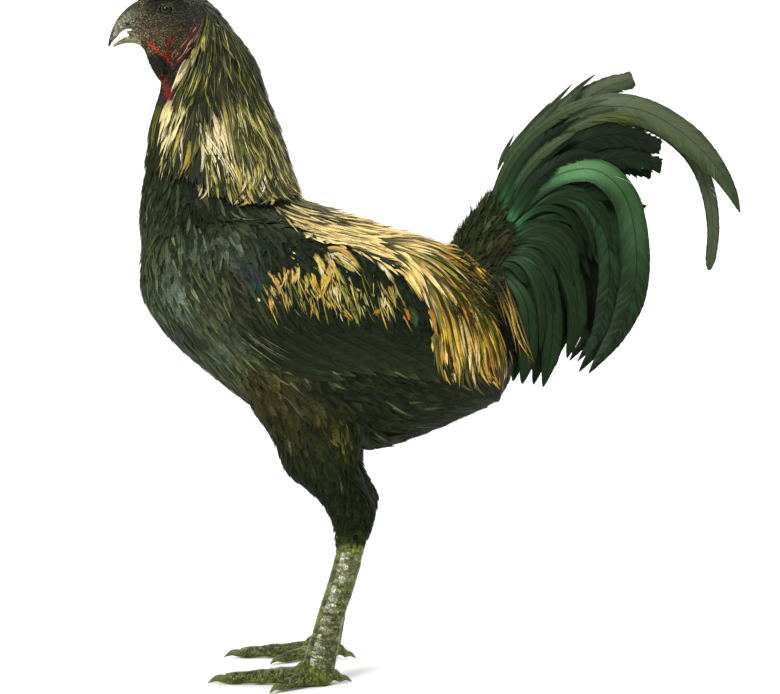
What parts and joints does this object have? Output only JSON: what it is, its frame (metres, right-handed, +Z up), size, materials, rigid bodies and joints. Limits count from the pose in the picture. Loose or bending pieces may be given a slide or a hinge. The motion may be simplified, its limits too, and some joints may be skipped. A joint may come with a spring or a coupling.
{
  "type": "gamecock figure",
  "caption": "Life-size standing gamecock with a high curved tail, long hackle cape, folded wings, scaled shanks and flat-soled feet.",
  "frame": {"origin": "centre of the bounding box in X and Y, on the floor plane under the feet", "axes": "+Z up; the bird faces -X and its left side faces -Y"},
  "size_m": [0.6605, 0.2218, 0.7293],
  "materials": {
    "black_feather": "close black body feathers with a dark green sheen",
    "straw_hackle": "long narrow hackles, black centres with straw and cream edges",
    "wing_feather": "black wing feathers with a gold and cream mottled bow",
    "tail_feather": "broad curved tail feathers with a bottle green gloss",
    "face_skin": "dark pebbled bare skin",
    "red_skin": "wrinkled red skin of the comb, wattles and lobes",
    "horn": "grey to yellowish horn",
    "shank_scale": "olive slate scales, slightly glossy",
    "eye": "wet dark brown eye"
  },
  "bodies": {
    "root": {"claw_hind_left": "horn", "claw_hind_right": "horn", "claw_inner_left": "horn", "claw_inner_right": "horn", "claw_middle_left": "horn", "claw_middle_right": "horn", "claw_outer_left": "horn", "claw_outer_right": "horn", "comb": "red_skin", "earlobe_left": "red_skin", "earlobe_right": "red_skin", "eye_left": "eye", "eye_right": "eye", "foot_left": "shank_scale", "foot_right": "shank_scale", "hanger_a_left": "tail_feather", "hanger_a_right": "tail_feather", "hanger_b_left": "tail_feather", "hanger_b_right": "tail_feather", "hanger_c_left": "tail_feather", "hanger_c_right": "tail_feather", "head": "face_skin", "lower_beak": "horn", "neck": "straw_hackle", "rectrix_1_left": "tail_feather", "rectrix_1_right": "tail_feather", "rectrix_2_left": "tail_feather", "rectrix_2_right": "tail_feather", "rectrix_3_left": "tail_feather", "rectrix_3_right": "tail_feather", "rectrix_4_left": "tail_feather", "rectrix_4_right": "tail_feather", "rectrix_5_left": "tail_feather", "rectrix_5_right": "tail_feather", "rectrix_6_left": "tail_feather", "rectrix_6_right": "tail_feather", "saddle": "straw_hackle", "shank_left": "shank_scale", "shank_right": "shank_scale", "sickle_inner_left": "tail_feather", "sickle_inner_right": "tail_feather", "sickle_left": "tail_feather", "sickle_low_left": "tail_feather", "sickle_low_right": "tail_feather", "sickle_right": "tail_feather", "spur_left": "horn", "spur_right": "horn", "tail_base": "black_feather", "thigh_left": "black_feather", "thigh_right": "black_feather", "trunk": "black_feather", "upper_beak": "horn", "wattle_left": "red_skin", "wattle_right": "red_skin", "wing_left": "wing_feather", "wing_right": "wing_feather"}
  },
  "joints": []
}
